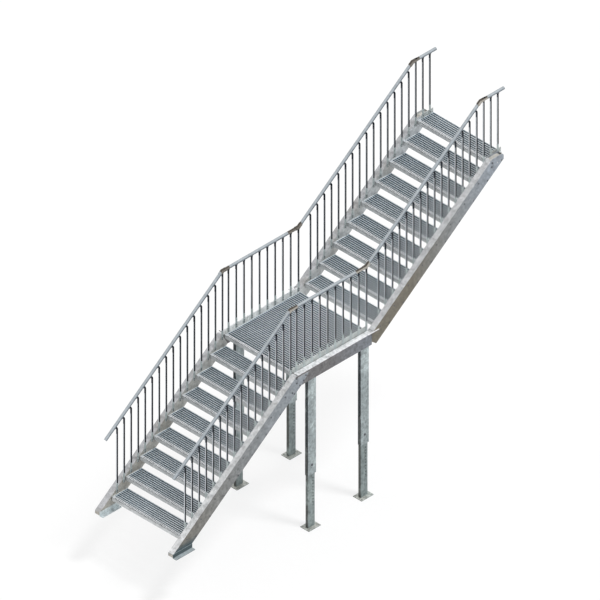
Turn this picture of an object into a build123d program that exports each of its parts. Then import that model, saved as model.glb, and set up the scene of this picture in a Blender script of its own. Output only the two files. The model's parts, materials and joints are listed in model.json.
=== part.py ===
from build123d import *
import math
import os

# Galvanised steel staircase: a lower flight, a straight landing on four telescopic legs and an upper flight.
# Millimetres. X runs across the stair (left is -X), Y along the climb, Z up from the floor under the legs.

# Steps
rise = 181.0
run = 240.0
lower_treads = 8
upper_treads = 9
upper_first_rise = 61.0
clear_width = 1170.0
tread_depth = 270.0

# Landing
landing_height = 2380.0
landing_length = 1280.0
landing_to_upper = 104.0

# Grating
bar_pitch = 30.0
bar_height = 30.0
bar_thickness = 4.0
end_plate_thickness = 5.0
end_plate_height = 55.0
nosing_depth = 44.0
nosing_height = 50.0
nosing_thickness = 4.0
landing_frame_height = 40.0
seat_gap = 0.3

# Stringers
stringer_width = 84.0
stringer_depth = 186.0
wall = 4.0
stringer_lift = 18.0
foot_overhang = 200.0
beam_depth = 166.0
cheek_top_drop = 25.0
cheek_reach_top = 220.0
cheek_reach_bottom = 130.0
heel_drop = 125.0
heel_length = 70.0
flange_past_nosing = 19.0
head_reach = 225.0
head_rise = 42.0
head_radius = 45.0
head_hole_radius = 7.0
head_hole_spacing = 60.0
head_hole_drop = 50.0

# Foot angles
foot_leg = 60.0
foot_thickness = 6.0
foot_length = 327.0
foot_hole_radius = 7.0
foot_hole_spacing = 274.0
foot_hole_offset = 35.0

# Legs
leg_outer_depth = 137.0
leg_outer_width = 50.0
leg_inner_depth = 115.0
leg_wall = 4.0
leg_lip = 12.0
leg_sleeve_bottom = 780.0
leg_overlap = 420.0
leg_front = 282.0
leg_spacing = 902.0
head_plate = 6.0
base_width = 150.0
base_length = 205.0
base_thickness = 8.0
base_hole_radius = 7.0
base_hole_width = 110.0
base_hole_length = 165.0

# Handrail
rail_radius = 21.2
rail_wall = 2.6
rail_over_nosing = 980.0
rail_over_landing = 955.0
rail_over_top = 915.0
rail_start = 2030.0
rail_end = 42.0
elbow_radius = 25.5
elbow_length = 55.0
elbow_socket = 38.0

# Balusters
baluster_radius = 12.5
baluster_sides = 6
baluster_pitch = 120.0
baluster_first = 90.0
landing_balusters = 10
landing_baluster_first = 72.0
landing_baluster_last = 11.0
hook_drop = 55.0
hook_bend = 22.0
sleeve_thickness = 8.0
sleeve_width = 28.0
sleeve_over_flange = 54.0
sleeve_under_flange = 60.0
sleeve_over_landing = 125.0
sleeve_over_top = 110.0

# Kerbs
kerb_thickness = 4.0
kerb_over = 70.0
kerb_ledge = 40.0
kerb_start = 6.0
top_kerb_over = 65.0
top_kerb_start = 75.0

# Worked out from the sizes above
slope = rise / run
pitch = math.atan(slope)
half_width = clear_width / 2
outer_face = half_width + stringer_width
upright_depth = stringer_depth / math.cos(pitch)
foot_level = landing_height - (lower_treads + 1) * rise
lower_front = -lower_treads * run
upper_front = landing_length + landing_to_upper
upper_level = landing_height + upper_first_rise
top_front = upper_front + (upper_treads - 1) * run
top_level = upper_level + (upper_treads - 1) * rise
kink_low = -stringer_lift / slope
kink_high = upper_front - (upper_first_rise + stringer_lift) / slope
landing_baluster_span = landing_length - landing_baluster_first - landing_baluster_last


def plate(points, x_from, x_to):
    """A plate with its outline in the YZ plane, from one X to another."""
    outline = Polyline(*[(y, z) for y, z in points], close=True)
    return extrude(Plane.YZ.offset(x_from) * make_face(outline), amount=x_to - x_from)


def block(x_from, x_to, y_from, y_to, z_from, z_to):
    """A straight block between two corners."""
    size = Box(x_to - x_from, y_to - y_from, z_to - z_from, align=(Align.MIN, Align.MIN, Align.MIN))
    return Pos(x_from, y_from, z_from) * size


def side_range(side, near, far):
    """The X range between two distances from the middle, on the left (-1) or the right (1)."""
    return min(side * near, side * far), max(side * near, side * far)


def lower_line(y):
    """Height of the lower stringer's top edge."""
    return landing_height + stringer_lift + slope * y


def upper_line(y):
    """Height of the upper stringer's top edge."""
    return upper_level + stringer_lift + slope * (y - upper_front)


def band(line, y_from, y_to, above, below):
    """Outline of a sloping strip between two distances under a stringer's top edge."""
    top = [(y_from, line(y_from) - above), (y_to, line(y_to) - above)]
    under = [(y_to, line(y_to) - below), (y_from, line(y_from) - below)]
    return top + under


def lower_stringer(side):
    """Box stringer of the lower flight: its outer wall runs on as a cheek over the landing beam."""
    front = lower_front - foot_overhang
    heel = (foot_level + upright_depth - landing_height - stringer_lift) / slope
    mitre_bottom = (upright_depth - beam_depth - stringer_lift) / slope
    mitre_gap = seat_gap
    toe = [(front, lower_line(front)), (front, foot_level), (heel, foot_level)]
    mitre_top_point = (kink_low - mitre_gap, lower_line(kink_low - mitre_gap))
    mitre_low_point = (mitre_bottom - mitre_gap, lower_line(mitre_bottom - mitre_gap) - upright_depth)
    body = toe + [mitre_low_point, mitre_top_point]
    cheek_low = kink_low + cheek_reach_bottom
    cheek = toe + [
        (cheek_low, lower_line(cheek_low) - upright_depth),
        (kink_low + cheek_reach_top, landing_height - cheek_top_drop),
        (kink_low, landing_height - cheek_top_drop),
        (kink_low - mitre_gap, lower_line(kink_low - mitre_gap)),
    ]
    inner = plate(body, *side_range(side, half_width, half_width + wall))
    outer = plate(cheek, *side_range(side, outer_face - wall, outer_face))
    width = side_range(side, half_width, outer_face)
    filled = plate(body, *width)
    flange = wall / math.cos(pitch)
    top = filled & plate(band(lower_line, front - run, landing_length, 0, flange), *width)
    bottom_band = band(lower_line, front - run, landing_length, upright_depth - flange, upright_depth)
    bottom = filled & plate(bottom_band, *width)
    return inner + outer + top + bottom


def landing_beam(side):
    """Hollow beam beside the landing, narrower by one wall so that the cheek laps it."""
    low = landing_height - beam_depth
    mitre_bottom = (upright_depth - beam_depth - stringer_lift) / slope
    outline = [
        (kink_low + seat_gap, landing_height),
        (kink_high - seat_gap, landing_height),
        (kink_high - seat_gap, low),
        (mitre_bottom + seat_gap, low),
    ]
    width = side_range(side, half_width, outer_face - wall - seat_gap)
    hollow = side_range(side, half_width + wall, outer_face - 2 * wall - seat_gap)
    room = [
        (kink_low - beam_depth, landing_height - wall),
        (kink_high + beam_depth, landing_height - wall),
        (kink_high + beam_depth, low + wall),
        (kink_low - beam_depth, low + wall),
    ]
    return plate(outline, *width) - plate(room, *hollow)


def upper_stringer(side):
    """Box stringer of the upper flight, with rounded head plates past the end of its flange."""
    head = top_front + head_reach
    head_top = top_level + head_rise
    flange_end = top_front + flange_past_nosing
    head_meet = upper_front + (head_top - upper_level - stringer_lift) / slope
    body = [
        (kink_high, landing_height),
        (kink_high, landing_height - heel_drop),
        (kink_high + heel_length, upper_line(kink_high + heel_length) - upright_depth),
        (head - head_radius, upper_line(head - head_radius) - upright_depth),
        (head, top_level - head_radius),
        (head, head_top),
        (head_meet, head_top),
    ]
    walls = None
    for near, far in ((half_width, half_width + wall), (outer_face - wall, outer_face)):
        sheet = plate(body, *side_range(side, near, far))
        corner = sheet.edges().filter_by(Axis.X).sort_by(Axis.Y)[-2:].sort_by(Axis.Z)[-1]
        sheet = fillet(corner, head_radius)
        walls = sheet if walls is None else walls + sheet
    width = side_range(side, half_width, outer_face)
    flange = wall / math.cos(pitch)
    filled = plate(body, *width)
    top = filled & plate(band(upper_line, 0, flange_end, 0, flange), *width)
    bottom_band = band(upper_line, 0, top_front, upright_depth - flange, upright_depth)
    bottom = filled & plate(bottom_band, *width)
    shape = walls + top + bottom
    for step in (0, 1):
        y = head - head_hole_spacing / 2 - head_radius + (step - 0.5) * head_hole_spacing
        drill = Pos(side * (half_width + stringer_width / 2), y, top_level - head_hole_drop)
        shape -= drill * Rot(0, 90, 0) * Cylinder(head_hole_radius, 2 * stringer_width)
    return shape


def foot(side):
    """Anchor angle on the right-hand face of a lower stringer, with two anchor holes."""
    face = outer_face if side > 0 else -half_width
    front = lower_front - foot_overhang - 7
    upright = block(face, face + foot_thickness, front, front + foot_length, foot_level, foot_level + foot_leg)
    base = block(face, face + foot_leg, front, front + foot_length, foot_level, foot_level + foot_thickness)
    shape = upright + base
    corners = shape.edges().filter_by(Axis.Z).group_by(Axis.X)[-1]
    shape = fillet(corners, 2 * foot_thickness)
    for step in (-1, 1):
        y = front + foot_length / 2 + step * foot_hole_spacing / 2
        shape -= Pos(face + foot_hole_offset, y, foot_level) * Cylinder(foot_hole_radius, 4 * foot_thickness)
    return shape


def grating(half_length, depth, frame_height):
    """Grating panel with its front top edge on the X axis: nosing, bearing bars and end plates."""
    shape = block(-half_length, half_length, 0, nosing_depth, -nosing_thickness, 0)
    shape += block(-half_length, half_length, 0, nosing_thickness, -nosing_height, 0)
    for end in (-1, 1):
        ends = side_range(end, half_length - end_plate_thickness, half_length)
        shape += block(*ends, 0, depth, -frame_height, 0)
    bars = int((depth - nosing_depth - bar_thickness) // bar_pitch)
    for count in range(bars + 1):
        y = depth - bar_thickness - count * bar_pitch
        shape += block(-half_length, half_length, y, y + bar_thickness, -bar_height, 0)
    return shape


def landing_kerb(side):
    """Angle beside the landing: a kerb over the grating and a ledge under it."""
    sheet = half_width if side < 0 else half_width - sleeve_thickness
    upright = side_range(side, sheet - kerb_thickness, sheet)
    ledge_top = landing_height - landing_frame_height - seat_gap
    low = ledge_top - kerb_thickness
    shape = block(*upright, kerb_start, landing_length, low, landing_height + kerb_over)
    ledge = side_range(side, sheet - kerb_ledge, sheet)
    return shape + block(*ledge, kerb_start, landing_length, low, ledge_top)


def top_kerb(side):
    """Short kerb plate at one end of the top tread."""
    sheet = half_width if side < 0 else half_width - sleeve_thickness
    low = top_level + seat_gap
    ends = side_range(side, sheet - kerb_thickness, sheet)
    return block(*ends, top_front + top_kerb_start, top_front + tread_depth, low, top_level + top_kerb_over)


def lower_rail_line(y):
    """Height of the handrail's middle over the lower flight."""
    return landing_height + rail_over_nosing + slope * y


def upper_rail_line(y):
    """Height of the handrail's middle over the upper flight."""
    return upper_level + rail_over_nosing + slope * (y - upper_front)


def landing_rail_line(y):
    """Height of the handrail's middle over the landing."""
    return landing_height + rail_over_landing


def top_rail_line(y):
    """Height of the handrail's middle over the top tread."""
    return top_level + rail_over_top


rail_x = half_width - sleeve_thickness / 2
rail_kink_low = (rail_over_landing - rail_over_nosing) / slope
rail_kink_high = upper_front + (rail_over_landing - upper_first_rise - rail_over_nosing) / slope
rail_kink_top = upper_front + (top_level + rail_over_top - upper_level - rail_over_nosing) / slope
rail_far_end = top_front + tread_depth + rail_end


def rail_lines_at(y):
    """The lines of the handrail tubes over a point on the stair: two of them at an elbow."""
    spans = (
        (lower_rail_line, -math.inf, rail_kink_low),
        (landing_rail_line, rail_kink_low, rail_kink_high),
        (upper_rail_line, rail_kink_high, rail_kink_top),
        (top_rail_line, rail_kink_top, math.inf),
    )
    reach = elbow_length + baluster_radius
    return [line for line, start, end in spans if start - reach < y < end + reach]


def upright(side, y, foot_z, lines):
    """Six-sided bar from a foot to the rail: on a flight its top bends over to the lower side."""
    x = side * rail_x
    if len(lines) > 1 or lines[0](1) == lines[0](0):
        route = [(x, y, foot_z), (x, y, lines[0](y))]
    else:
        top = lines[0](y) - hook_drop
        route = [(x, y, foot_z), (x, y, top - hook_bend), (x, y - hook_bend, top), (x, y - 3 * hook_bend, top)]
    start = Plane(origin=route[0], z_dir=(0, 0, 1))
    section = start * RegularPolygon(baluster_radius, baluster_sides, rotation=180 / baluster_sides)
    return sweep(section, path=Polyline(*route), transition=Transition.RIGHT)


def baluster(side, y, sleeve_x, sleeve_top, sleeve_low):
    """One upright with a flattened foot against the steel beside it, cut to lie under the rail."""
    lines = rail_lines_at(y)
    bar = upright(side, y, sleeve_top, lines)
    clear = (elbow_radius if len(lines) > 1 else rail_radius) + seat_gap
    for line in lines:
        under_rail = clear / math.cos(math.atan(line(1) - line(0)))
        over = band(line, y - run, y + run, -run, under_rail)
        bar -= plate(over, side * rail_x - run, side * rail_x + run)
    half = sleeve_thickness / 2
    width = sleeve_width / 2
    sleeve = block(sleeve_x - half, sleeve_x + half, y - width, y + width, sleeve_low, sleeve_top)
    return bar + sleeve


def flight_balusters(side, line, first, count):
    """Balusters along a flight, footed on the inner face of its stringer."""
    group = []
    for step in range(count):
        y = first + step * baluster_pitch
        edge = line(y)
        group.append(baluster(side, y, side * rail_x, edge + sleeve_over_flange, edge - sleeve_under_flange))
    return group


def kerb_sleeve_x(side):
    """Middle of a flattened foot that is bolted to a kerb."""
    return side * (half_width - sleeve_thickness / 2 - (kerb_thickness if side < 0 else 0))


def lower_baluster_group(side):
    """Balusters along the lower flight."""
    first = lower_front + baluster_first
    count = int(-first // baluster_pitch) + 1
    return Compound(flight_balusters(side, lower_line, first, count))


def landing_baluster_group(side):
    """Balusters along the landing, footed on the kerb."""
    top = landing_height + sleeve_over_landing
    low = landing_height - landing_frame_height
    group = []
    for step in range(landing_balusters):
        y = landing_baluster_first + step * landing_baluster_span / (landing_balusters - 1)
        group.append(baluster(side, y, kerb_sleeve_x(side), top, low))
    return Compound(group)


def upper_baluster_group(side):
    """Balusters along the upper flight, and the last two on the top kerb."""
    first = upper_front + baluster_first
    count = int((top_front - first) // baluster_pitch) + 1
    group = flight_balusters(side, upper_line, first, count)
    for step in range(2):
        y = first + (count + step) * baluster_pitch
        group.append(baluster(side, y, kerb_sleeve_x(side), top_level + sleeve_over_top, top_level + 2))
    return Compound(group)


def tube_between(side, start, end, radius, bore):
    """Round tube between two (y, z) points on one side."""
    length = math.dist(start, end)
    direction = Vector(0, end[0] - start[0], end[1] - start[1])
    place = Plane(origin=(side * rail_x, start[0], start[1]), z_dir=direction)
    tube = extrude(place * Circle(radius), amount=length)
    if bore:
        tube -= extrude(place * Circle(bore), amount=length)
    return tube


def along(point, toward, distance):
    """The (y, z) point at a distance from one point toward another."""
    share = distance / math.dist(point, toward)
    return tuple(a + (b - a) * share for a, b in zip(point, toward))


def elbow(side, kink, first, second):
    """Mitred connector at a kink of the handrail, with a socket for each tube."""
    ends = [along(kink, toward, elbow_length) for toward in (first, second)]
    route = [(side * rail_x, *point) for point in (ends[0], kink, ends[1])]
    start = Plane(origin=route[0], z_dir=Vector(*route[1]) - Vector(*route[0]))
    shape = sweep(start * Circle(elbow_radius), path=Polyline(*route), transition=Transition.RIGHT)
    for toward in (first, second):
        start = along(kink, toward, elbow_length - elbow_socket)
        shape -= tube_between(side, start, along(kink, toward, elbow_length + 1), rail_radius + seat_gap, 0)
    return shape


low_point = (-rail_start, lower_rail_line(-rail_start))
low_kink = (rail_kink_low, landing_rail_line(0))
high_kink = (rail_kink_high, landing_rail_line(0))
top_kink = (rail_kink_top, top_rail_line(0))
end_point = (rail_far_end, top_rail_line(0))
socket_end = elbow_length - elbow_socket + seat_gap
bore_radius = rail_radius - rail_wall


def rail_lower(side):
    """Handrail tube over the lower flight, with a closed lower end."""
    tube = tube_between(side, low_point, along(low_kink, low_point, socket_end), rail_radius, bore_radius)
    cap = tube_between(side, low_point, along(low_point, low_kink, rail_wall), rail_radius, 0)
    return tube + cap


def rail_landing(side):
    """Handrail over the landing: a tube between two elbows."""
    start = along(low_kink, high_kink, socket_end)
    tube = tube_between(side, start, along(high_kink, low_kink, socket_end), rail_radius, bore_radius)
    return Compound([tube, elbow(side, low_kink, low_point, high_kink), elbow(side, high_kink, low_kink, top_kink)])


def rail_upper(side):
    """Handrail tube over the upper flight."""
    start = along(high_kink, top_kink, socket_end)
    return tube_between(side, start, along(top_kink, high_kink, socket_end), rail_radius, bore_radius)


def rail_top(side):
    """Level handrail end over the top tread, with the elbow that joins it."""
    start = along(top_kink, end_point, socket_end)
    tube = tube_between(side, start, end_point, rail_radius, bore_radius)
    cap = tube_between(side, along(end_point, top_kink, rail_wall), end_point, rail_radius, 0)
    return Compound([tube + cap, elbow(side, top_kink, high_kink, end_point)])


def leg_x(side):
    """Middle of a leg: it stands under the inner wall of the landing beam."""
    return side * (half_width + wall + leg_outer_width / 2)


def leg_outer(side, y):
    """Upper half of a leg: a lipped channel, open toward the lower flight, closed by a head plate."""
    top = landing_height - beam_depth
    half_w = leg_outer_width / 2
    half_d = leg_outer_depth / 2
    shape = block(-half_w, half_w, -half_d, half_d, leg_sleeve_bottom, top)
    room = half_w - leg_wall
    shape -= block(-room, room, leg_wall - half_d, half_d - leg_wall, leg_sleeve_bottom - 1, top - head_plate)
    mouth = room - leg_lip + leg_wall
    shape -= block(-mouth, mouth, -half_d - 1, leg_wall + 1 - half_d, leg_sleeve_bottom - 1, top - head_plate)
    return Pos(leg_x(side), y, 0) * shape


def leg_inner(side, y):
    """Lower half of a leg: a box tube that slides in the channel, welded to its base plate."""
    half_w = leg_outer_width / 2 - leg_wall - seat_gap
    front = leg_wall + seat_gap - leg_outer_depth / 2
    back = front + leg_inner_depth
    top = leg_sleeve_bottom + leg_overlap
    shape = block(-half_w, half_w, front, back, 0, top)
    room = half_w - leg_wall
    shape -= block(-room, room, front + leg_wall, back - leg_wall, base_thickness, top + 1)
    base = block(-base_width / 2, base_width / 2, -base_length / 2, base_length / 2, 0, base_thickness)
    shape += base
    for x in (-1, 1):
        for step in (-1, 1):
            place = Pos(x * base_hole_width / 2, step * base_hole_length / 2, 0)
            shape -= place * Cylinder(base_hole_radius, 4 * base_thickness)
    return Pos(leg_x(side), y, 0) * shape


def build():
    """All named pieces of the staircase."""
    pieces = {}
    half_tread = half_width - seat_gap
    tread = grating(half_tread, tread_depth, end_plate_height)
    for step in range(lower_treads):
        level = foot_level + (step + 1) * rise
        pieces[f"tread_{step + 1:02d}"] = Pos(0, lower_front + step * run, level) * tread
    for step in range(upper_treads):
        place = Pos(0, upper_front + step * run, upper_level + step * rise)
        pieces[f"tread_{lower_treads + step + 1:02d}"] = place * tread
    half_landing = half_width - kerb_thickness - sleeve_thickness - seat_gap
    pieces["landing_grating"] = Pos(0, 0, landing_height) * grating(half_landing, landing_length, landing_frame_height)
    pieces["top_kerbs"] = Compound([top_kerb(-1), top_kerb(1)])
    for name, side in (("left", -1), ("right", 1)):
        pieces[f"stringer_lower_{name}"] = lower_stringer(side)
        pieces[f"landing_beam_{name}"] = landing_beam(side)
        pieces[f"stringer_upper_{name}"] = upper_stringer(side)
        pieces[f"foot_{name}"] = foot(side)
        pieces[f"landing_kerb_{name}"] = landing_kerb(side)
        pieces[f"balusters_lower_{name}"] = lower_baluster_group(side)
        pieces[f"balusters_landing_{name}"] = landing_baluster_group(side)
        pieces[f"balusters_upper_{name}"] = upper_baluster_group(side)
        pieces[f"rail_lower_{name}"] = rail_lower(side)
        pieces[f"rail_landing_{name}"] = rail_landing(side)
        pieces[f"rail_upper_{name}"] = rail_upper(side)
        pieces[f"rail_top_{name}"] = rail_top(side)
        for place, y in (("front", leg_front), ("rear", leg_front + leg_spacing)):
            pieces[f"leg_outer_{place}_{name}"] = leg_outer(side, y)
            pieces[f"leg_inner_{place}_{name}"] = leg_inner(side, y)
    return pieces


pieces = build()
boxes = [piece.bounding_box() for piece in pieces.values()]
# The origin is the middle of the footprint, on the floor under the legs.
middle_x = (min(box.min.X for box in boxes) + max(box.max.X for box in boxes)) / 2
middle_y = (min(box.min.Y for box in boxes) + max(box.max.Y for box in boxes)) / 2
os.makedirs("parts", exist_ok=True)
for name, piece in pieces.items():
    export_step(Pos(-middle_x, -middle_y, 0) * piece, f"parts/{name}.step")
print("pieces", len(pieces), "middle", round(middle_x, 3), round(middle_y, 3))
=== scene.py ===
import bpy
import bmesh
import json
import math
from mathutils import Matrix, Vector


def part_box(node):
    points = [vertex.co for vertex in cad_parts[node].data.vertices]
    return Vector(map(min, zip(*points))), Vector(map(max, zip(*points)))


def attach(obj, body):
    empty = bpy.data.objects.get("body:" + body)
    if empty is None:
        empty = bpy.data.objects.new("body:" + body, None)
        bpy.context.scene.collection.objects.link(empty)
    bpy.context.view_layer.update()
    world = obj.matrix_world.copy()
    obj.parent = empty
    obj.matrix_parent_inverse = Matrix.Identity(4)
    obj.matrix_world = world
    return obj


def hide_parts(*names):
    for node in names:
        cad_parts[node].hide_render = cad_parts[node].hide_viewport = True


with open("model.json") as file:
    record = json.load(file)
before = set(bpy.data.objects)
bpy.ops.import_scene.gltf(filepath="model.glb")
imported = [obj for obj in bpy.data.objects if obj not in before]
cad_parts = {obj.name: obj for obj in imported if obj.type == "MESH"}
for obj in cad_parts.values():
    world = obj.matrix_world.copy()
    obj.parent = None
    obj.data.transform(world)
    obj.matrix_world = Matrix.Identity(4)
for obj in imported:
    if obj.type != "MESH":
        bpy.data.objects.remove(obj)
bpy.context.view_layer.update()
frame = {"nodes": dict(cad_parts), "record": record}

nodes = frame["nodes"]
print("stage: frame loaded,", len(nodes), "nodes")

# The stair is measured from the front top edge of the landing grating, on its middle line.
gratingLow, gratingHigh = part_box("landing_grating")
middleX = (gratingLow.x + gratingHigh.x) / 2
landingFront = gratingLow.y
landingTop = gratingHigh.z
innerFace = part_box("landing_beam_right")[0].x - middleX
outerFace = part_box("stringer_lower_right")[1].x - middleX
treadNames = sorted(name for name in nodes if name.startswith("tread_"))
upperTreads = treadNames[8:]

stair = {
    "rise": 0.181,                # one step up
    "slope": 0.181 / 0.240,
    "flangeLift": 0.018,          # top of a stringer over the line of the nosings
    "upperFront": 1.384,          # first nosing of the upper flight, behind the front of the landing
    "upperFirst": 0.061,          # its height over the landing
    "railLift": 0.980,
    "railLanding": 0.955,
    "railTop": 2.424,
    "railRadius": 0.0212,
    "railInset": 0.004,           # middle of the rail inside the inner face of the stringers
    # lengths of rail that are joint pieces
    "elbows": ((-0.065, 0.080), (1.080, 1.310), (3.160, 3.330)),
}
railX = innerFace - stair["railInset"]


def place(x, y, z):
    return Vector((middleX + x, landingFront + y, landingTop + z))


def lowerLine(y):
    return stair["flangeLift"] + stair["slope"] * y


def upperLine(y):
    return stair["upperFirst"] + stair["flangeLift"] + stair["slope"] * (y - stair["upperFront"])


def railOverLower(y):
    return stair["railLift"] + stair["slope"] * y


def railOverUpper(y):
    return stair["upperFirst"] + stair["railLift"] + stair["slope"] * (y - stair["upperFront"])


def railOverLanding(y):
    return stair["railLanding"]


def railOverTop(y):
    return stair["railTop"]


def srgb(color):
    linear = [c / 255 / 12.92 if c <= 10.3 else ((c / 255 + 0.055) / 1.055) ** 2.4 for c in color]
    return (*linear, 1.0)


def newGroup(name, inputs, outputs):
    group = bpy.data.node_groups.new(name, "ShaderNodeTree")
    for label, kind, value in inputs:
        group.interface.new_socket(name=label, in_out="INPUT", socket_type=kind).default_value = value
    for label, kind in outputs:
        group.interface.new_socket(name=label, in_out="OUTPUT", socket_type=kind)
    return group, group.nodes.new("NodeGroupInput"), group.nodes.new("NodeGroupOutput")


def feed(tree, socket, value):
    if hasattr(value, "is_output"):
        tree.links.new(value, socket)
    else:
        socket.default_value = value


def mixColor(tree, factor, first, second):
    node = tree.nodes.new("ShaderNodeMix")
    node.data_type = "RGBA"
    for socket, value in ((node.inputs["Factor"], factor), (node.inputs[6], first), (node.inputs[7], second)):
        feed(tree, socket, value)
    return node.outputs[2]


def math2(tree, operation, first, second=0.0, clamp=False):
    node = tree.nodes.new("ShaderNodeMath")
    node.operation = operation
    node.use_clamp = clamp
    feed(tree, node.inputs[0], first)
    feed(tree, node.inputs[1], second)
    return node.outputs[0]


def mapRange(tree, value, low, high, toLow=0.0, toHigh=1.0, kind="SMOOTHSTEP"):
    node = tree.nodes.new("ShaderNodeMapRange")
    node.interpolation_type = kind
    for index, item in enumerate((value, low, high, toLow, toHigh)):
        feed(tree, node.inputs[index], item)
    return node.outputs[0]


def noise(tree, coord, scale, detail=4.0, roughness=0.6):
    node = tree.nodes.new("ShaderNodeTexNoise")
    node.inputs["Detail"].default_value = detail
    node.inputs["Roughness"].default_value = roughness
    tree.links.new(coord, node.inputs["Vector"])
    feed(tree, node.inputs["Scale"], scale)
    return node.outputs["Fac"]


# The look of the zinc: spans are the noise values between which a layer fades in
zinc = {
    "cloudDetail": 6.0, "cloudRoughness": 0.68, "cloudSpan": (0.30, 0.70),
    "patchScale": 3.1, "patchDetail": 5.0, "patchRoughness": 0.6, "patchSpan": (0.50, 0.62),
    "drainStretch": (38.0, 38.0, 3.4), "drainDetail": 3.0, "drainSpan": (0.50, 0.70),
    "roughSpan": (0.38, 0.58),
    "stainRough": 0.15,
    "crystalHeight": 0.4,
}


def zincCoatGroup():
    # Hot dip zinc: crystal spangle, cloudy mottling, drain streaks and stains, laid over any base colour.
    group, entry, leave = newGroup(
        "zinc coat",
        [("Base", "NodeSocketColor", (0.5, 0.5, 0.5, 1)), ("Stain", "NodeSocketColor", (0.3, 0.3, 0.3, 1)),
         ("Spangle", "NodeSocketFloat", 0.2), ("Spangle Scale", "NodeSocketFloat", 45.0),
         ("Mottle", "NodeSocketFloat", 0.2), ("Mottle Scale", "NodeSocketFloat", 14.0),
         ("Stained", "NodeSocketFloat", 0.0), ("Streak", "NodeSocketFloat", 0.1)],
        [("Color", "NodeSocketColor"), ("Roughness", "NodeSocketFloat"), ("Height", "NodeSocketFloat")])
    link = group.links.new
    coord = group.nodes.new("ShaderNodeTexCoord").outputs["Object"]
    crystals = group.nodes.new("ShaderNodeTexVoronoi")
    link(coord, crystals.inputs["Vector"])
    link(entry.outputs["Spangle Scale"], crystals.inputs["Scale"])
    crystal = group.nodes.new("ShaderNodeSeparateColor")
    link(crystals.outputs["Color"], crystal.inputs[0])
    clouds = noise(group, coord, entry.outputs["Mottle Scale"], zinc["cloudDetail"], zinc["cloudRoughness"])
    patches = noise(group, coord, zinc["patchScale"], zinc["patchDetail"], zinc["patchRoughness"])
    stretch = group.nodes.new("ShaderNodeMapping")
    stretch.inputs["Scale"].default_value = zinc["drainStretch"]
    link(coord, stretch.inputs["Vector"])
    drains = noise(group, stretch.outputs[0], 1.0, zinc["drainDetail"])
    value = math2(group, "MULTIPLY", math2(group, "SUBTRACT", crystal.outputs[0], 0.5), entry.outputs["Spangle"])
    cloudy = mapRange(group, clouds, *zinc["cloudSpan"], -0.5, 0.5, "LINEAR")
    value = math2(group, "ADD", value, math2(group, "MULTIPLY", cloudy, entry.outputs["Mottle"]))
    streaky = mapRange(group, drains, *zinc["drainSpan"])
    value = math2(group, "ADD", value, math2(group, "MULTIPLY", streaky, entry.outputs["Streak"]))
    stain = math2(group, "MULTIPLY", mapRange(group, patches, *zinc["patchSpan"]), entry.outputs["Stained"])
    shade = group.nodes.new("ShaderNodeHueSaturation")
    link(mixColor(group, stain, entry.outputs["Base"], entry.outputs["Stain"]), shade.inputs["Color"])
    link(math2(group, "ADD", value, 1.0), shade.inputs["Value"])
    link(shade.outputs[0], leave.inputs["Color"])
    rough = mapRange(group, crystal.outputs[1], 0.0, 1.0, *zinc["roughSpan"], "LINEAR")
    link(math2(group, "ADD", rough, math2(group, "MULTIPLY", stain, zinc["stainRough"])), leave.inputs["Roughness"])
    height = math2(group, "ADD", math2(group, "MULTIPLY", crystal.outputs[2], zinc["crystalHeight"]), clouds)
    link(height, leave.inputs["Height"])
    return group


# How the direction of a face is read: spans are the values between which each mask fades in
turning = {
    "up": (0.55, 0.75),
    "under": (0.25, -0.25),
    "front": (-0.5, -0.9),
    # painted shade: faces turned towards +X and +Y take a darker colour
    "shadedSide": (-0.47, -0.20),
    "beltTop": (0.50, 0.15),
    "beltFoot": (-0.35, -0.05),
    "diagonal": 0.7071,
    "halfWidth": 0.55,            # reach of the mask from the left side to the right one
    "acrossShift": 0.22,          # how much the painted shaded side shifts from left to right
    "elbowSoft": 0.002,
    "topMargin": 0.0005,
}


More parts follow.
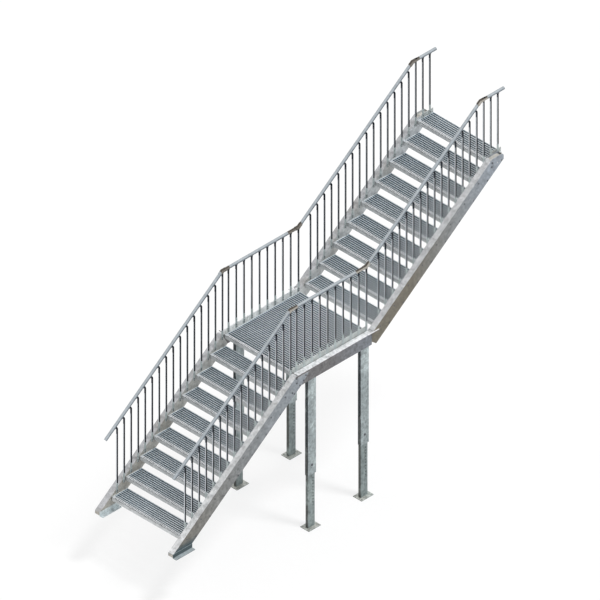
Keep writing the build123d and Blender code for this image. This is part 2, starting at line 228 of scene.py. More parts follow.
def facingGroup():
    # Where a point lies and how its face is turned, and how deep it is under the top of its own step.
    masks = ("Up", "Front", "Along", "Across", "Shaded Side", "Under", "Side Band Shade", "Depth", "Height", "Elbow")
    group, entry, leave = newGroup(
        "facing",
        [("Along Start", "NodeSocketFloat", 0.0), ("Along End", "NodeSocketFloat", 1.0),
         ("Level", "NodeSocketFloat", 0.0)],
        [(mask, "NodeSocketFloat") for mask in masks])
    link = group.links.new
    normal = group.nodes.new("ShaderNodeSeparateXYZ")
    link(group.nodes.new("ShaderNodeTexCoord").outputs["Normal"], normal.inputs[0])
    point = group.nodes.new("ShaderNodeSeparateXYZ")
    link(group.nodes.new("ShaderNodeTexCoord").outputs["Object"], point.inputs[0])
    normalX, normalY, normalZ = normal.outputs
    pointX, pointY, pointZ = point.outputs
    link(mapRange(group, normalZ, *turning["up"]), leave.inputs["Up"])
    link(mapRange(group, normalZ, *turning["under"]), leave.inputs["Under"])
    link(mapRange(group, normalY, *turning["front"]), leave.inputs["Front"])
    # painted shade on the side turned towards +X and +Y, shifted across the stair
    turned = math2(group, "MULTIPLY", math2(group, "ADD", normalX, normalY), turning["diagonal"])
    across = mapRange(group, pointX, -turning["halfWidth"], turning["halfWidth"], kind="LINEAR")
    turned = math2(group, "SUBTRACT", turned, math2(group, "MULTIPLY", across, turning["acrossShift"]))
    link(mapRange(group, turned, *turning["shadedSide"]), leave.inputs["Shaded Side"])
    # painted shade: a dark band along the sides of round tubes, where the face stands nearly upright
    beltTop, beltFoot = mapRange(group, normalZ, *turning["beltTop"]), mapRange(group, normalZ, *turning["beltFoot"])
    link(math2(group, "MULTIPLY", beltTop, beltFoot), leave.inputs["Side Band Shade"])
    along = mapRange(group, pointY, entry.outputs["Along Start"], entry.outputs["Along End"], kind="LINEAR")
    link(along, leave.inputs["Along"])
    link(across, leave.inputs["Across"])
    link(pointZ, leave.inputs["Height"])
    under = math2(group, "ADD", math2(group, "SUBTRACT", entry.outputs["Level"], pointZ), turning["topMargin"])
    steps = math2(group, "FRACT", math2(group, "DIVIDE", under, stair["rise"]))
    link(math2(group, "MULTIPLY", steps, stair["rise"]), leave.inputs["Depth"])
    elbow = 0.0
    for start, end in stair["elbows"]:
        middle, half = landingFront + (start + end) / 2, (end - start) / 2
        gap = math2(group, "ABSOLUTE", math2(group, "SUBTRACT", pointY, middle))
        edge = mapRange(group, gap, half + turning["elbowSoft"], half - turning["elbowSoft"])
        elbow = math2(group, "MAXIMUM", elbow, edge)
    link(elbow, leave.inputs["Elbow"])
    return group


zincCoat = zincCoatGroup()
facing = facingGroup()


def baseColor(tree, face, look):
    # one colour, or a pair of (place along Y, colour) for a gradient of painted light and shade along the piece
    value = look["base"]
    if not isinstance(value, list):
        return srgb(value)
    start, end = look["along"]
    ramp = tree.nodes.new("ShaderNodeValToRGB")
    tree.links.new(face.outputs["Along"], ramp.inputs[0])
    for element, (y, color) in zip(ramp.color_ramp.elements, value):
        element.position = (landingFront + y - start) / (end - start)
        element.color = srgb(color)
    return ramp.outputs[0]


def zincMaterial(name, look):
    material = bpy.data.materials.new(name)
    material.use_nodes = True
    tree = material.node_tree
    shader = tree.nodes["Principled BSDF"]
    face = tree.nodes.new("ShaderNodeGroup")
    face.node_tree = facing
    if "along" in look:
        face.inputs["Along Start"].default_value, face.inputs["Along End"].default_value = look["along"]
    base = baseColor(tree, face, look)
    # painted light and shade by the way a face is turned: lighter or darker tops and fronts, darker undersides, a
    # painted shaded side and a painted dark band along the sides
    for key, mask in (("top", "Up"), ("front", "Front"), ("under", "Under"), ("shadedSide", "Shaded Side"), ("sideBandShade", "Side Band Shade")):
        if key in look:
            base = mixColor(tree, face.outputs[mask], base, srgb(look[key]))
    # painted shade in the recesses of the gratings, below the depth span under the step's top, darker towards the near
    # (+X) side
    if "recessShade" in look:
        face.inputs["Level"].default_value = look["level"]
        low, high = look["depth"]
        recessShade = mixColor(tree, face.outputs["Across"], srgb(look["recessShade"]), srgb(look["recessShadeRight"]))
        base = mixColor(tree, mapRange(tree, face.outputs["Depth"], low, high), base, recessShade)
    # painted shade: side faces below the foot height turn dark teal
    if "foot" in look:
        low = mapRange(tree, face.outputs["Height"], *look["footHeight"])
        low = math2(tree, "MULTIPLY", low, math2(tree, "SUBTRACT", 1.0, face.outputs["Up"]))
        base = mixColor(tree, low, base, srgb(look["foot"]))
    # the connectors' brown, paler on the near side as painted light, darker on upward faces
    if "elbow" in look:
        side = mixColor(tree, face.outputs["Across"], srgb(look["elbow"]), srgb(look["elbowNearLit"]))
        elbow = mixColor(tree, face.outputs["Up"], side, srgb(look["elbowTop"]))
        base = mixColor(tree, face.outputs["Elbow"], base, elbow)
    coat = tree.nodes.new("ShaderNodeGroup")
    coat.node_tree = zincCoat
    feed(tree, coat.inputs["Base"], base)
    coat.inputs["Stain"].default_value = srgb(look.get("stain", (110, 104, 94)))
    for label in ("Spangle", "Spangle Scale", "Mottle", "Mottle Scale", "Stained", "Streak"):
        key = label[0].lower() + label[1:].replace(" ", "")
        if key in look:
            coat.inputs[label].default_value = look[key]
    tree.links.new(coat.outputs["Color"], shader.inputs["Base Color"])
    tree.links.new(coat.outputs["Roughness"], shader.inputs["Roughness"])
    shader.inputs["Metallic"].default_value = look.get("metallic", 0.25)
    shader.inputs["Specular IOR Level"].default_value = look.get("specular", 0.5)
    bump = tree.nodes.new("ShaderNodeBump")
    bump.inputs["Strength"].default_value = 0.15
    bump.inputs["Distance"].default_value = 0.002
    tree.links.new(coat.outputs["Height"], bump.inputs["Height"])
    tree.links.new(bump.outputs["Normal"], shader.inputs["Normal"])
    return material


# Colours are sRGB. A pair runs from one end of the piece to the other: metres behind the landing's front, then the
# colour; it paints light and shade along the piece.
# The other colours are painted light and shade on faces that look up, to the front, down or away from the light.
looks = {
    # painted light and shade: darker and browner towards the lower end, dark teal at the foot, lighter upward faces
    # and fronts
    "lowerStringer": {
        "along": (-3.0, 0.3), "base": [(-2.4, (118, 113, 102)), (0.0, (146, 153, 160))],
        "top": (210, 211, 212), "front": (206, 208, 210), "foot": (58, 78, 86), "footHeight": (0.93, 0.80),
        "spangle": 0.28, "mottle": 0.60, "streak": 0.06},
    # painted light: a paler copy for the far stringers, whose inner faces lie in shade; darker towards the lower end,
    # lighter upward faces, with stains
    "farStringerLitCopy": {
        "along": (-3.0, 4.0), "base": [(-2.5, (168, 166, 158)), (3.3, (202, 207, 210))],
        "top": (182, 183, 186), "front": (206, 208, 210),
        "stain": (140, 134, 122), "stained": 0.35, "spangle": 0.22, "mottle": 0.40, "streak": 0.08},
    # painted light and shade: darker towards the front end, white upward faces
    "landingBeam": {
        "along": (-0.2, 1.6), "base": [(0.2, (112, 111, 112)), (1.2, (123, 128, 135))],
        "top": (238, 239, 241), "spangle": 0.34, "mottle": 0.75, "streak": 0.08},
    # painted light and shade: darker and browner towards the lower end, lighter upward faces
    "upperStringer": {
        "along": (1.2, 3.8), "base": [(1.5, (118, 113, 101)), (3.3, (152, 160, 169))],
        "top": (202, 203, 205), "spangle": 0.28, "mottle": 0.50, "streak": 0.06},
    # painted light on upward faces, with stains
    "kerb": {
        "base": (184, 190, 189), "top": (232, 234, 232), "stain": (150, 152, 146), "stained": 0.5,
        "spangle": 0.25, "mottle": 0.40, "streak": 0.10},
    # painted light: a paler copy for the far kerb, lighter on upward faces, with stains
    "farKerbLitCopy": {
        "base": (238, 241, 241), "top": (250, 252, 252), "stain": (176, 178, 172), "stained": 0.4,
        "spangle": 0.25, "mottle": 0.40, "streak": 0.10},
    # painted light and shade: pale on the lit side, painted shade on the side turned away from the light and on the
    # upward faces of the bends
    "baluster": {
        "base": (218, 223, 228), "shadedSide": (24, 28, 34), "top": (92, 98, 106),
        "spangle": 0.12, "mottle": 0.18, "streak": 0.02, "specular": 0.05, "metallic": 0.0},
    # painted shadow of the rail on the top length of each baluster
    "balusterShadedTop": {
        "base": (96, 102, 110), "shadedSide": (30, 34, 40), "top": (60, 66, 74),
        "spangle": 0.15, "mottle": 0.25, "streak": 0.0, "specular": 0.05, "metallic": 0.0},
    # painted light on upward faces and painted shade on the side turned away from the light
    "balusterFoot": {
        "base": (205, 214, 214), "shadedSide": (176, 186, 186), "top": (226, 230, 230),
        "spangle": 0.2, "mottle": 0.3, "streak": 0.0},
    # painted shade on the undersides and in a band along the sides; brown connectors, paler on the near side as
    # painted light, darker on upward faces
    "rail": {
        "base": (168, 176, 182), "top": (170, 177, 182), "under": (150, 157, 165), "sideBandShade": (116, 124, 132),
        "elbow": (122, 117, 110), "elbowNearLit": (170, 165, 157), "elbowTop": (72, 66, 58),
        "spangle": 0.12, "mottle": 0.26, "streak": 0.0},
    # painted shade: front faces nearly black, as the shaded inside of the sleeve, with light patches
    "legSleeve": {
        "base": (150, 160, 162), "front": (44, 49, 52), "stain": (196, 208, 208), "stained": 0.45,
        "spangle": 0.35, "mottle": 0.75, "mottleScale": 20.0, "streak": 0.22},
    # painted light and shade: darker front faces, lighter upward faces, with light patches
    "legTube": {
        "base": (130, 141, 141), "front": (84, 87, 84), "top": (186, 188, 182), "stain": (164, 176, 174),
        "stained": 0.5, "spangle": 0.35, "mottle": 0.75, "mottleScale": 20.0, "streak": 0.18},
    # painted light on the bars' upper faces and painted shade in the recesses, darker towards the near side
    "grating": {
        "base": (238, 248, 254), "top": (250, 254, 255), "recessShade": (102, 126, 142), "recessShadeRight": (18, 30, 40),
        "level": landingTop, "depth": (0.0115, 0.0125), "spangle": 0.10, "mottle": 0.15, "streak": 0.0},
    # painted shade: the cross bars sit in the recesses and are coloured dark, a little lighter on upward faces
    "shadedCrossBar": {"base": (50, 66, 78), "top": (80, 98, 110), "spangle": 0.10, "mottle": 0.15, "streak": 0.0},
    # painted light: lighter upward faces and fronts on the nosing
    "nosing": {
        "base": (190, 196, 199), "top": (204, 209, 213), "front": (208, 211, 212),
        "spangle": 0.22, "mottle": 0.34, "streak": 0.0},
    # painted light: bright tops on the teeth, darker fronts
    "tooth": {
        "base": (168, 174, 178), "top": (250, 251, 252), "front": (150, 156, 160),
        "spangle": 0.1, "mottle": 0.2, "streak": 0.0},
    # painted light on upward faces
    "cover": {"base": (186, 182, 174), "top": (206, 203, 196), "spangle": 0.2, "mottle": 0.4, "streak": 0.0},
    # painted shade: dark blocks in the gaps between the nosing's teeth
    "gap": {"base": (54, 60, 66), "spangle": 0.1, "mottle": 0.2, "streak": 0.0},
    # painted light: the far foot's side faces are raised where it lies in shade
    "foot": {"base": (208, 218, 220), "top": (196, 205, 208), "spangle": 0.25, "mottle": 0.35, "streak": 0.05},
    # painted shade: the near foot's side faces are coloured dark, lighter on upward faces
    "nearFootShadedCopy": {"base": (74, 88, 92), "top": (176, 186, 190), "spangle": 0.25, "mottle": 0.35, "streak": 0.05},
    # painted light on upward faces
    "bolt": {"base": (84, 86, 92), "top": (130, 132, 136), "spangle": 0.2, "mottle": 0.3, "streak": 0.0},
    # painted shade: a dark colour for the insides of holes and open seams
    "openingShade": {"base": (36, 40, 42), "spangle": 0.2, "mottle": 0.2, "streak": 0.0},
}
looks["gratingUpper"] = dict(looks["grating"], level=landingTop + stair["upperFirst"])
materials = {name: zincMaterial("zinc " + name, look) for name, look in looks.items()}

finishOf = {
    "lower_stringer": "lowerStringer", "landing_beam": "landingBeam", "upper_stringer": "upperStringer",
    "kerb": "kerb", "baluster": "baluster", "rail": "rail", "leg_sleeve": "legSleeve", "leg_tube": "legTube",
    "grating": "grating", "foot": "foot",
}
for entry in frame["record"]["subparts"]:
    node, finish = entry["node"], finishOf[entry["material_slot"]]
    if node in upperTreads:
        finish = "gratingUpper"
    # the far stringers, the far kerb and the near foot take lit or shaded copies of their finish
    if node.startswith("stringer") and node.endswith("left"):
        finish = "farStringerLitCopy"
    if node == "landing_kerb_left":
        finish = "farKerbLitCopy"
    if node == "foot_right":
        finish = "nearFootShadedCopy"
    nodeMesh = nodes[node].data
    for index in range(len(nodeMesh.materials)):
        nodeMesh.materials[index] = materials[finish]
print("stage: finishes made,", len(materials))


def meshPiece(name, bm, finishes, smooth=False, replaced=()):
    mesh = bpy.data.meshes.new(name)
    bmesh.ops.recalc_face_normals(bm, faces=bm.faces)
    bm.to_mesh(mesh)
    bm.free()
    for finish in finishes:
        mesh.materials.append(materials[finish])
    piece = bpy.data.objects.new(name, mesh)
    bpy.context.scene.collection.objects.link(piece)
    if smooth:
        with bpy.context.temp_override(object=piece, active_object=piece, selected_editable_objects=[piece]):
            bpy.ops.object.shade_smooth_by_angle(angle=math.radians(40))
    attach(piece, "root")
    if replaced:
        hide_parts(*replaced)
    return piece


def addBlock(bm, low, high, finish=0):
    corners = [bm.verts.new((x, y, z)) for x in (low.x, high.x) for y in (low.y, high.y) for z in (low.z, high.z)]
    for quad in ((0, 1, 3, 2), (4, 6, 7, 5), (0, 4, 5, 1), (2, 3, 7, 6), (0, 2, 6, 4), (1, 5, 7, 3)):
        bm.faces.new([corners[i] for i in quad]).material_index = finish


def joinRings(bm, rings, finishes):
    # walls between the rings, one finish for each length, and a cap at both ends
    for lower, upper, finish in zip(rings, rings[1:], finishes):
        for step in range(len(lower)):
            after = (step + 1) % len(lower)
            bm.faces.new((lower[step], lower[after], upper[after], upper[step])).material_index = finish
    bm.faces.new(rings[0][::-1])
    bm.faces.new(rings[-1])


def addTube(bm, path, sides=14):
    # path: centre, half size across X, half size in the plane of the stair, finish of the length that follows
    turns = [2 * math.pi * step / sides for step in range(sides)]
    rings = []
    for index, (centre, halfX, halfN, _) in enumerate(path):
        travel = path[min(index + 1, len(path) - 1)][0] - path[max(index - 1, 0)][0]
        travel.x = 0
        travel.normalize()
        side = Vector((0, travel.z, -travel.y))
        rings.append([bm.verts.new(centre + Vector((halfX * math.cos(turn), 0, 0)) + side * halfN * math.sin(turn))
                      for turn in turns])
    joinRings(bm, rings, [finish for _, _, _, finish in path])


def addDisc(bm, centre, normal, radius, height, sides=6, crown=0.0):
    # crown: share of the height over which the edge draws in
    normal = normal.normalized()
    across = normal.orthogonal().normalized()
    other = normal.cross(across)
    crownRadius = radius * (bolt["crownWidth"] if crown else 1.0)
    turns = [2 * math.pi * step / sides for step in range(sides)]
    rings = []
    for lift, size in ((0.0, radius), (height * (1 - crown), radius), (height, crownRadius)):
        rings.append([bm.verts.new(centre + normal * lift + (across * math.cos(turn) + other * math.sin(turn)) * size)
                      for turn in turns])
    joinRings(bm, rings, (0, 0))


# Shape of a bolt: shares of its size, which is the radius of the head
bolt = {"washerWidth": 1.35, "washerHeight": 0.22, "washerSides": 12, "headHeight": 0.75, "crown": 0.3,
        "crownWidth": 0.78}


def addBolt(bm, centre, normal, size):
    # washer and hexagon head
    addDisc(bm, centre, normal, size * bolt["washerWidth"], size * bolt["washerHeight"], bolt["washerSides"])
    headBase = centre + normal.normalized() * size * bolt["washerHeight"]
    addDisc(bm, headBase, normal, size, size * bolt["headHeight"], crown=bolt["crown"])


# Round tubes with a pressed foot and, on the flights, a top that bends over to the rail
baluster = {
    "radius": 0.0125,
    "footHalf": (0.0032, 0.0175),    # half thickness and half width of the pressed foot
    "footShort": 0.004,           # how far the flat part ends under the top of the foot
    "neck": 0.030,                # length of the change from flat to round
    "neckHalf": (0.009, 0.0155),
    "hookDrop": 0.055,            # middle of the bent end under the middle of the rail
    "hookShort": 0.012,
    "bend": 0.030,
    "bendSteps": 6,
    "railSink": 0.004,            # how far a straight top goes into the rail
    "shadedEnd": 0.065,           # length under the rail with a painted shadow of the rail
    "flare": (0.026, 0.030),      # height and half length of the spread top on the landing
    "flareSteps": ((0.4, 0.8, 0.8), (0.0, 0.7, 1.0)),     # shares of the height, the radius and the half length
    "kerbX": {-1: -0.577, 1: 0.581},     # feet on the left and the right kerb, which are not mirrored
    "flightFoot": (-0.060, 0.054),     # from the edge of the stringer
    "flightBolts": (-0.028, -0.050),
    "landingFoot": (-0.040, 0.125),    # from the top of the landing, as are the next three
    "landingBolts": (0.020, 0.052),
    "topFoot": (1.511, 1.619),
    "topBolts": (1.545,),
    "boltInset": 0.004,
    "boltSize": 0.006,
    "rows": {"lower": (-1.830, 0.120, 16), "landing": (0.072, 0.133, 10), "upper": (1.474, 0.120, 18)},
    "bentTops": 15,               # in each flight, counted from its lower end
    "flightCount": 16,            # those after it in the upper row stand on the top kerbs
}
tubeFinish, shadedEndFinish, footFinish = range(3)


def addBaluster(bm, side, y, footX, footLow, footTop, railLine, bent):
    flatX, flatN = baluster["footHalf"]
    r = baluster["radius"]
    x = side * railX
    neckTop = footTop + baluster["neck"]
    path = [(place(footX, y, footLow), flatX, flatN, footFinish),
            (place(footX, y, footTop - baluster["footShort"]), flatX, flatN, footFinish),
            (place((footX + x) / 2, y, footTop + baluster["neck"] * 0.5), *baluster["neckHalf"], footFinish),
            (place(x, y, neckTop), r, r, tubeFinish)]
    top = railLine(y) - (baluster["hookDrop"] if bent else stair["railRadius"] - baluster["railSink"])
    straight = top - (baluster["bend"] if bent else 0.0)
    # from here up the tube takes the painted shadow of the rail
    path.append((place(x, y, straight - baluster["shadedEnd"]), r, r, shadedEndFinish))
    if bent:
        bend = baluster["bend"]
        for step in range(baluster["bendSteps"] + 1):
            turn = math.pi / 2 * step / baluster["bendSteps"]
            bendPoint = place(x, y - bend + bend * math.cos(turn), top - bend + bend * math.sin(turn))
            path.append((bendPoint, r, r, shadedEndFinish))
        reach = (baluster["hookDrop"] - baluster["hookShort"]) / stair["slope"]
        path.append((place(x, y - reach, top), r, r, shadedEndFinish))
    else:
        rise, spreadHalf = baluster["flare"]
        path.append((place(x, y, top - rise), r, r, shadedEndFinish))
        for drop, thin, wide in baluster["flareSteps"]:
            path.append((place(x, y, top - rise * drop), r * thin, spreadHalf * wide, shadedEndFinish))
    addTube(bm, path)


def addFootBolts(side, x, y, levels):
    for level in levels:
        centre = place(x - side * baluster["boltInset"], y, level)
        addBolt(footBolts, centre, Vector((-side, 0, 0)), baluster["boltSize"])


def addFlightBaluster(bm, side, y, edge, railLine, bent):
    low, high = baluster["flightFoot"]
    addBaluster(bm, side, y, side * railX, edge + low, edge + high, railLine, bent)
    addFootBolts(side, side * railX, y, [edge + lift for lift in baluster["flightBolts"]])


def addKerbBaluster(bm, side, y, kind, railLine):
    low, high = baluster[kind + "Foot"]
    kerbX = baluster["kerbX"][side]
    addBaluster(bm, side, y, kerbX, low, high, railLine, False)
    addFootBolts(side, kerbX, y, baluster[kind + "Bolts"])


footBolts = bmesh.new()
for name, side in (("left", -1), ("right", 1)):
    for row, (first, pitch, count) in baluster["rows"].items():
        bm = bmesh.new()
        for step in range(count):
            y = first + pitch * step
            bent = step < baluster["bentTops"]
            if row == "lower":
                addFlightBaluster(bm, side, y, lowerLine(y), railOverLower, bent)
            elif row == "landing":
                addKerbBaluster(bm, side, y, "landing", railOverLanding)
            elif step < baluster["flightCount"]:
                addFlightBaluster(bm, side, y, upperLine(y), railOverUpper, bent)
            else:
                addKerbBaluster(bm, side, y, "top", railOverTop)
        meshPiece(f"round_balusters_{row}_{name}", bm, ["baluster", "balusterShadedTop", "balusterFoot"], True,
                  [f"balusters_{row}_{name}"])
meshPiece("baluster_bolts", footBolts, ["bolt"])
print("stage: balusters made")


# Gratings: end plates, a nosing with teeth, bearing bars, and cross bars pressed in between
grate = {
    "barPitch": 0.0333,           # a guess; the solids have 0.030
    "barThick": 0.004,
    "barHeight": 0.030,
    "barInset": 0.004,            # bars start inside the end plates
    "endThick": 0.005,
    "treadEnd": 0.055,            # height of a tread's end plates
    "landingEnd": 0.040,
    "crossPitch": 0.0333,
    "crossHalf": 0.0011,
    "crossDrop": 0.010,           # top of the cross bars under the top of the bearing bars
    "crossDepth": 0.010,
    "crossFront": 0.040,
    "crossBack": 0.003,
    "crossMargin": 0.01,
    "nosingDepth": 0.044,
    "nosingHeight": 0.050,
    "nosingThick": 0.004,
    "nosingLift": 0.0003,         # keeps the nosing's top over the bars' tops
    "toothRows": (0.003, 0.023),
    "toothPitch": 0.0247,
    "toothLength": 0.011,
    "toothDepth": 0.012,
    "toothRise": 0.003,
    "toothMargin": 0.02,
    "gapDepth": 0.010,
    "gapRise": 0.0009,
}
barFinish, shadedCrossFinish, nosingFinish, toothFinish, toothGapShadeFinish = range(5)


def spread(low, high, pitch):
    # places on one pitch, the same distance from both ends
    count = int((high - low) / pitch)
    start = (low + high - (count - 1) * pitch) / 2
    return [start + step * pitch for step in range(count)]


def addGrating(bm, low, high, endHeight):
    end, inset, thick = grate["endThick"], grate["barInset"], grate["barThick"]
    for x in (low.x, high.x - end):
        addBlock(bm, Vector((x, low.y, high.z - endHeight)), Vector((x + end, high.y, high.z)), barFinish)
    y = high.y - thick
    while y > low.y + grate["nosingDepth"]:
        addBlock(bm, Vector((low.x + inset, y, high.z - grate["barHeight"])),
                 Vector((high.x - inset, y + thick, high.z)), barFinish)
        y -= grate["barPitch"]
    top = high.z - grate["crossDrop"]
    margin, half = grate["crossMargin"], grate["crossHalf"]
    for x in spread(low.x + margin, high.x - margin, grate["crossPitch"]):
        addBlock(bm, Vector((x - half, low.y + grate["crossFront"], top - grate["crossDepth"])),
                 Vector((x + half, high.y - grate["crossBack"], top)), shadedCrossFinish)


def addNosing(bm, low, high):
    thick, margin = grate["nosingThick"], grate["toothMargin"]
    addBlock(bm, Vector((low.x, low.y, high.z - grate["nosingHeight"])), Vector((high.x, low.y + thick, high.z)),
             nosingFinish)
    addBlock(bm, Vector((low.x, low.y, high.z - thick)),
             Vector((high.x, low.y + grate["nosingDepth"], high.z + grate["nosingLift"])), nosingFinish)
    for row in grate["toothRows"]:
        y = low.y + row
        for x in spread(low.x + margin, high.x - margin, grate["toothPitch"]):
            tip = x + grate["toothLength"]
            addBlock(bm, Vector((x, y, high.z)),
                     Vector((tip, y + grate["toothDepth"], high.z + grate["toothRise"])), toothFinish)
            # a dark block of painted shade in the gap after each tooth
            addBlock(bm, Vector((tip, y, high.z)),
                     Vector((x + grate["toothPitch"], y + grate["gapDepth"], high.z + grate["gapRise"])), toothGapShadeFinish)


for name in treadNames + ["landing_grating"]:
    low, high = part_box(name)
    bm = bmesh.new()
    addGrating(bm, low, high, grate["landingEnd"] if name == "landing_grating" else grate["treadEnd"])
    addNosing(bm, low, high)
    bars = "gratingUpper" if name in upperTreads else "grating"
    meshPiece("open_" + name, bm, [bars, "shadedCrossBar", "nosing", "tooth", "gap"], False, [name])
print("stage: gratings made")


# Bolts through the outer faces of the stringers: two at each tread, more at the joint with the landing and at the head
stringerBolt = {
    "tread": ((0.035, 0.020), (0.190, 0.050)),     # behind the front of the tread, and under its top
    "treadSize": 0.008,
    "joint": ((-0.008, -0.030), (-0.008, -0.094), (0.149, -0.050), (-0.082, -0.200), (0.045, -0.150), (0.110, -0.110)),
    "head": ((3.330, 1.500), (3.325, 1.441)),
    "size": 0.009,
}
bolts = bmesh.new()
for side in (-1, 1):
    outward = Vector((side, 0, 0))
    for name in treadNames:
        low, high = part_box(name)
        for back, drop in stringerBolt["tread"]:
            spot = Vector((middleX + side * outerFace, low.y + back, high.z - drop))
            addBolt(bolts, spot, outward, stringerBolt["treadSize"])
    for y, z in stringerBolt["joint"] + stringerBolt["head"]:
        addBolt(bolts, place(side * outerFace, y, z), outward, stringerBolt["size"])
meshPiece("stringer_bolts", bolts, ["bolt"])

# Lap plates that run past the joint with the upper flight, and dark blocks of painted shade in the open seams across
# the flanges
joint = {
    "lapStart": 1.200, "lapEnd": 1.389, "lapOut": 0.018, "lapIn": 0.004, "lapThick": 0.004, "lapLift": 0.0005,
    "seams": (0.0, 1.303), "seamHalf": 0.003, "seamDrop": 0.004, "seamLift": 0.0008,
}
laps = bmesh.new()
seams = bmesh.new()
top = stair["flangeLift"]
for side in (-1, 1):
    inner, outer = sorted((side * (outerFace - joint["lapIn"]), side * (outerFace + joint["lapOut"])))
    addBlock(laps, place(inner, joint["lapStart"], top - joint["lapThick"]),
             place(outer, joint["lapEnd"], top + joint["lapLift"]))
    inner, outer = sorted((side * innerFace, side * outerFace))
    for y in joint["seams"]:
        addBlock(seams, place(inner, y - joint["seamHalf"], top - joint["seamDrop"]),
                 place(outer, y + joint["seamHalf"], top + joint["seamLift"]))
meshPiece("lap_plates", laps, ["landingBeam"])

# Plates that close the ends of the stringers: on top and behind at the head, in front at the toe
head = {"start": 3.325, "end": 3.490, "level": 1.527, "thick": 0.003, "inner": 0.002, "outer": 0.004,
        "backLow": 1.466, "back": (0.004, 0.001)}
covers = bmesh.new()
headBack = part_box("stringer_upper_right")[1].y - landingFront
backFront, backRear = head["back"]
for side in (-1, 1):
    inner, outer = sorted((side * (innerFace + head["inner"]), side * (outerFace - head["outer"])))
    addBlock(covers, place(inner, head["start"], head["level"] - head["thick"]),
             place(outer, head["end"], head["level"]))
    addBlock(covers, place(inner, headBack - backFront, head["backLow"]),
             place(outer, headBack - backRear, head["level"]))
meshPiece("head_covers", covers, ["cover"])
toe = {"inset": 0.002, "drop": 0.002, "lift": 0.001, "depth": (0.001, 0.004)}
toes = bmesh.new()
toeFront, toeRear = toe["depth"]
for side, name in ((-1, "left"), (1, "right")):
    inner, outer = sorted((middleX + side * (innerFace + toe["inset"]), middleX + side * (outerFace - toe["inset"])))
    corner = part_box(f"stringer_lower_{name}")[0]
    toeTop = landingTop + lowerLine(corner.y - landingFront) - toe["drop"]
    addBlock(toes, Vector((inner, corner.y + toeFront, corner.z + toe["lift"])),
             Vector((outer, corner.y + toeRear, toeTop)))
meshPiece("toe_covers", toes, ["cover"])
meshPiece("flange_seams", seams, ["openingShade"])

# Pins through the leg sleeves, and the row of setting holes in each inner tube, drawn as dark discs of painted shade
leg = {
    "pinUp": 0.142, "pinSize": 0.012,
    "firstHole": 0.060, "holePitch": 0.045, "holes": 10, "holeRadius": 0.009, "holeSides": 12, "holeThick": 0.0003,
    "holeIn": 0.0043,             # the inner tube's face inside the sleeve's
    "holeBack": 0.048,
}
legBolts = bmesh.new()
legHoles = bmesh.new()
for name in ("left", "right"):
    for spot in ("front", "rear"):
        outerLow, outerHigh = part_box(f"leg_outer_{spot}_{name}")
        middleY = (outerLow.y + outerHigh.y) / 2
        for way, faceX in ((1, outerHigh.x), (-1, outerLow.x)):
            addBolt(legBolts, Vector((faceX, middleY, outerLow.z + leg["pinUp"])), Vector((way, 0, 0)), leg["pinSize"])
        for step in range(leg["holes"]):
            z = outerLow.z - leg["firstHole"] - step * leg["holePitch"]
            centre = Vector((outerHigh.x - leg["holeIn"], outerHigh.y - leg["holeBack"], z))
            addDisc(legHoles, centre, Vector((1, 0, 0)), leg["holeRadius"], leg["holeThick"], leg["holeSides"])
meshPiece("leg_bolts", legBolts, ["bolt"])
meshPiece("leg_holes", legHoles, ["openingShade"])
print("stage: bolts made")


light = {
    "ambient": 0.74,
    "sunPower": 1.25,
    "sunFrom": (0.42, 0.17, 1.0),
    "sunSize": 11.0,              # degrees, for soft shadow edges
}
ground = {
    "half": 60,
    "level": -0.0005,
    "roughness": 0.9,
    "grain": 3.0,
    "tones": ((0.78, 0.78, 0.785, 1), (0.80, 0.80, 0.80, 1)),
    "seen": 0.30,                 # what the camera sees: this tone, and a glow that hides all but the shadow
    "glow": 0.70,
}


def floorMaterial():
    # The camera sees an almost white floor with a faint shadow.
    material = bpy.data.materials.new("pale floor")
    material.use_nodes = True
    tree = material.node_tree
    shader = tree.nodes["Principled BSDF"]
    shader.inputs["Roughness"].default_value = ground["roughness"]
    shader.inputs["Specular IOR Level"].default_value = 0.0
    rays = tree.nodes.new("ShaderNodeLightPath")
    grain = tree.nodes.new("ShaderNodeTexNoise")
    grain.inputs["Scale"].default_value = ground["grain"]
    plain = mixColor(tree, grain.outputs["Fac"], *ground["tones"])
    seen = mixColor(tree, rays.outputs["Is Camera Ray"], plain, (ground["seen"],) * 3 + (1,))
    tree.links.new(seen, shader.inputs["Base Color"])
    glow = mixColor(tree, rays.outputs["Is Camera Ray"], (0, 0, 0, 1), (1, 1, 1, 1))
    tree.links.new(glow, shader.inputs["Emission Color"])
    shader.inputs["Emission Strength"].default_value = ground["glow"]
    return material


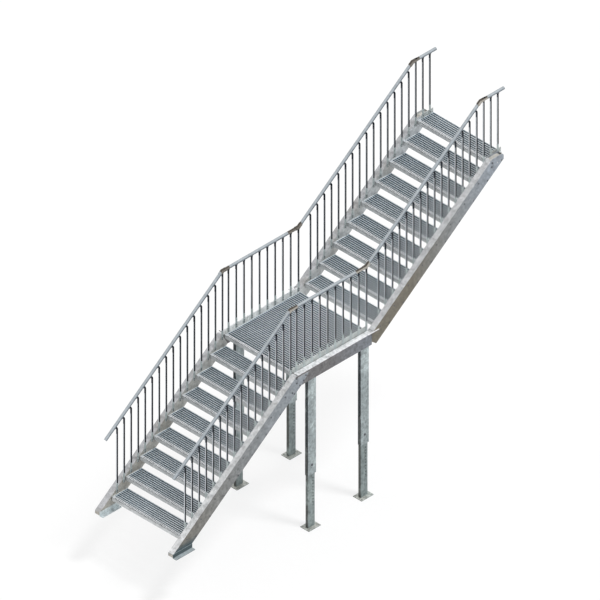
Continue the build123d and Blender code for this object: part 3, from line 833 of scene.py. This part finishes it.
floorMesh = bpy.data.meshes.new("floor")
corners = [(x * ground["half"], y * ground["half"], ground["level"]) for x, y in ((-1, -1), (1, -1), (1, 1), (-1, 1))]
floorMesh.from_pydata(corners, [], [(0, 1, 2, 3)])
floor = bpy.data.objects.new("floor", floorMesh)
floorMesh.materials.append(floorMaterial())
bpy.context.scene.collection.objects.link(floor)

world = bpy.data.worlds.new("studio")
bpy.context.scene.world = world
world.use_nodes = True
tree = world.node_tree
rays = tree.nodes.new("ShaderNodeLightPath")
seen = math2(tree, "ADD", rays.outputs["Is Camera Ray"], rays.outputs["Is Glossy Ray"], clamp=True)
seen = math2(tree, "ADD", seen, rays.outputs["Is Transmission Ray"], clamp=True)
strength = mapRange(tree, seen, 0.0, 1.0, light["ambient"], 1.0)
background = tree.nodes["Background"]
background.inputs["Color"].default_value = (1, 1, 1, 1)
tree.links.new(strength, background.inputs["Strength"])
sunData = bpy.data.lights.new("window", "SUN")
sunData.energy = light["sunPower"]
sunData.angle = math.radians(light["sunSize"])
sun = bpy.data.objects.new("window", sunData)
sun.rotation_euler = Vector(light["sunFrom"]).to_track_quat("Z", "Y").to_euler()
bpy.context.scene.collection.objects.link(sun)

# The camera looks along the diagonal of a cube, without perspective
view = {
    "azimuth": 45.0,
    "elevation": 35.264,
    "width": 7.251,               # metres across the picture
    "target": (-0.1239, 0.0751, 2.7184),
    "distance": 20.0,
    "clipEnd": 200.0,
}
cameraData = bpy.data.cameras.new("camera")
cameraData.type = "ORTHO"
cameraData.ortho_scale = view["width"]
cameraData.clip_end = view["clipEnd"]
camera = bpy.data.objects.new("camera", cameraData)
turn, tilt = math.radians(view["azimuth"]), math.radians(view["elevation"])
back = Vector((math.sin(turn) * math.cos(tilt), -math.cos(turn) * math.cos(tilt), math.sin(tilt)))
camera.location = Vector(view["target"]) + back * view["distance"]
camera.rotation_mode = "QUATERNION"
camera.rotation_quaternion = (-back).to_track_quat("-Z", "Y")
bpy.context.scene.collection.objects.link(camera)
bpy.context.scene.camera = camera
bpy.context.scene.view_settings.view_transform = "Standard"
print("stage: light and camera made")
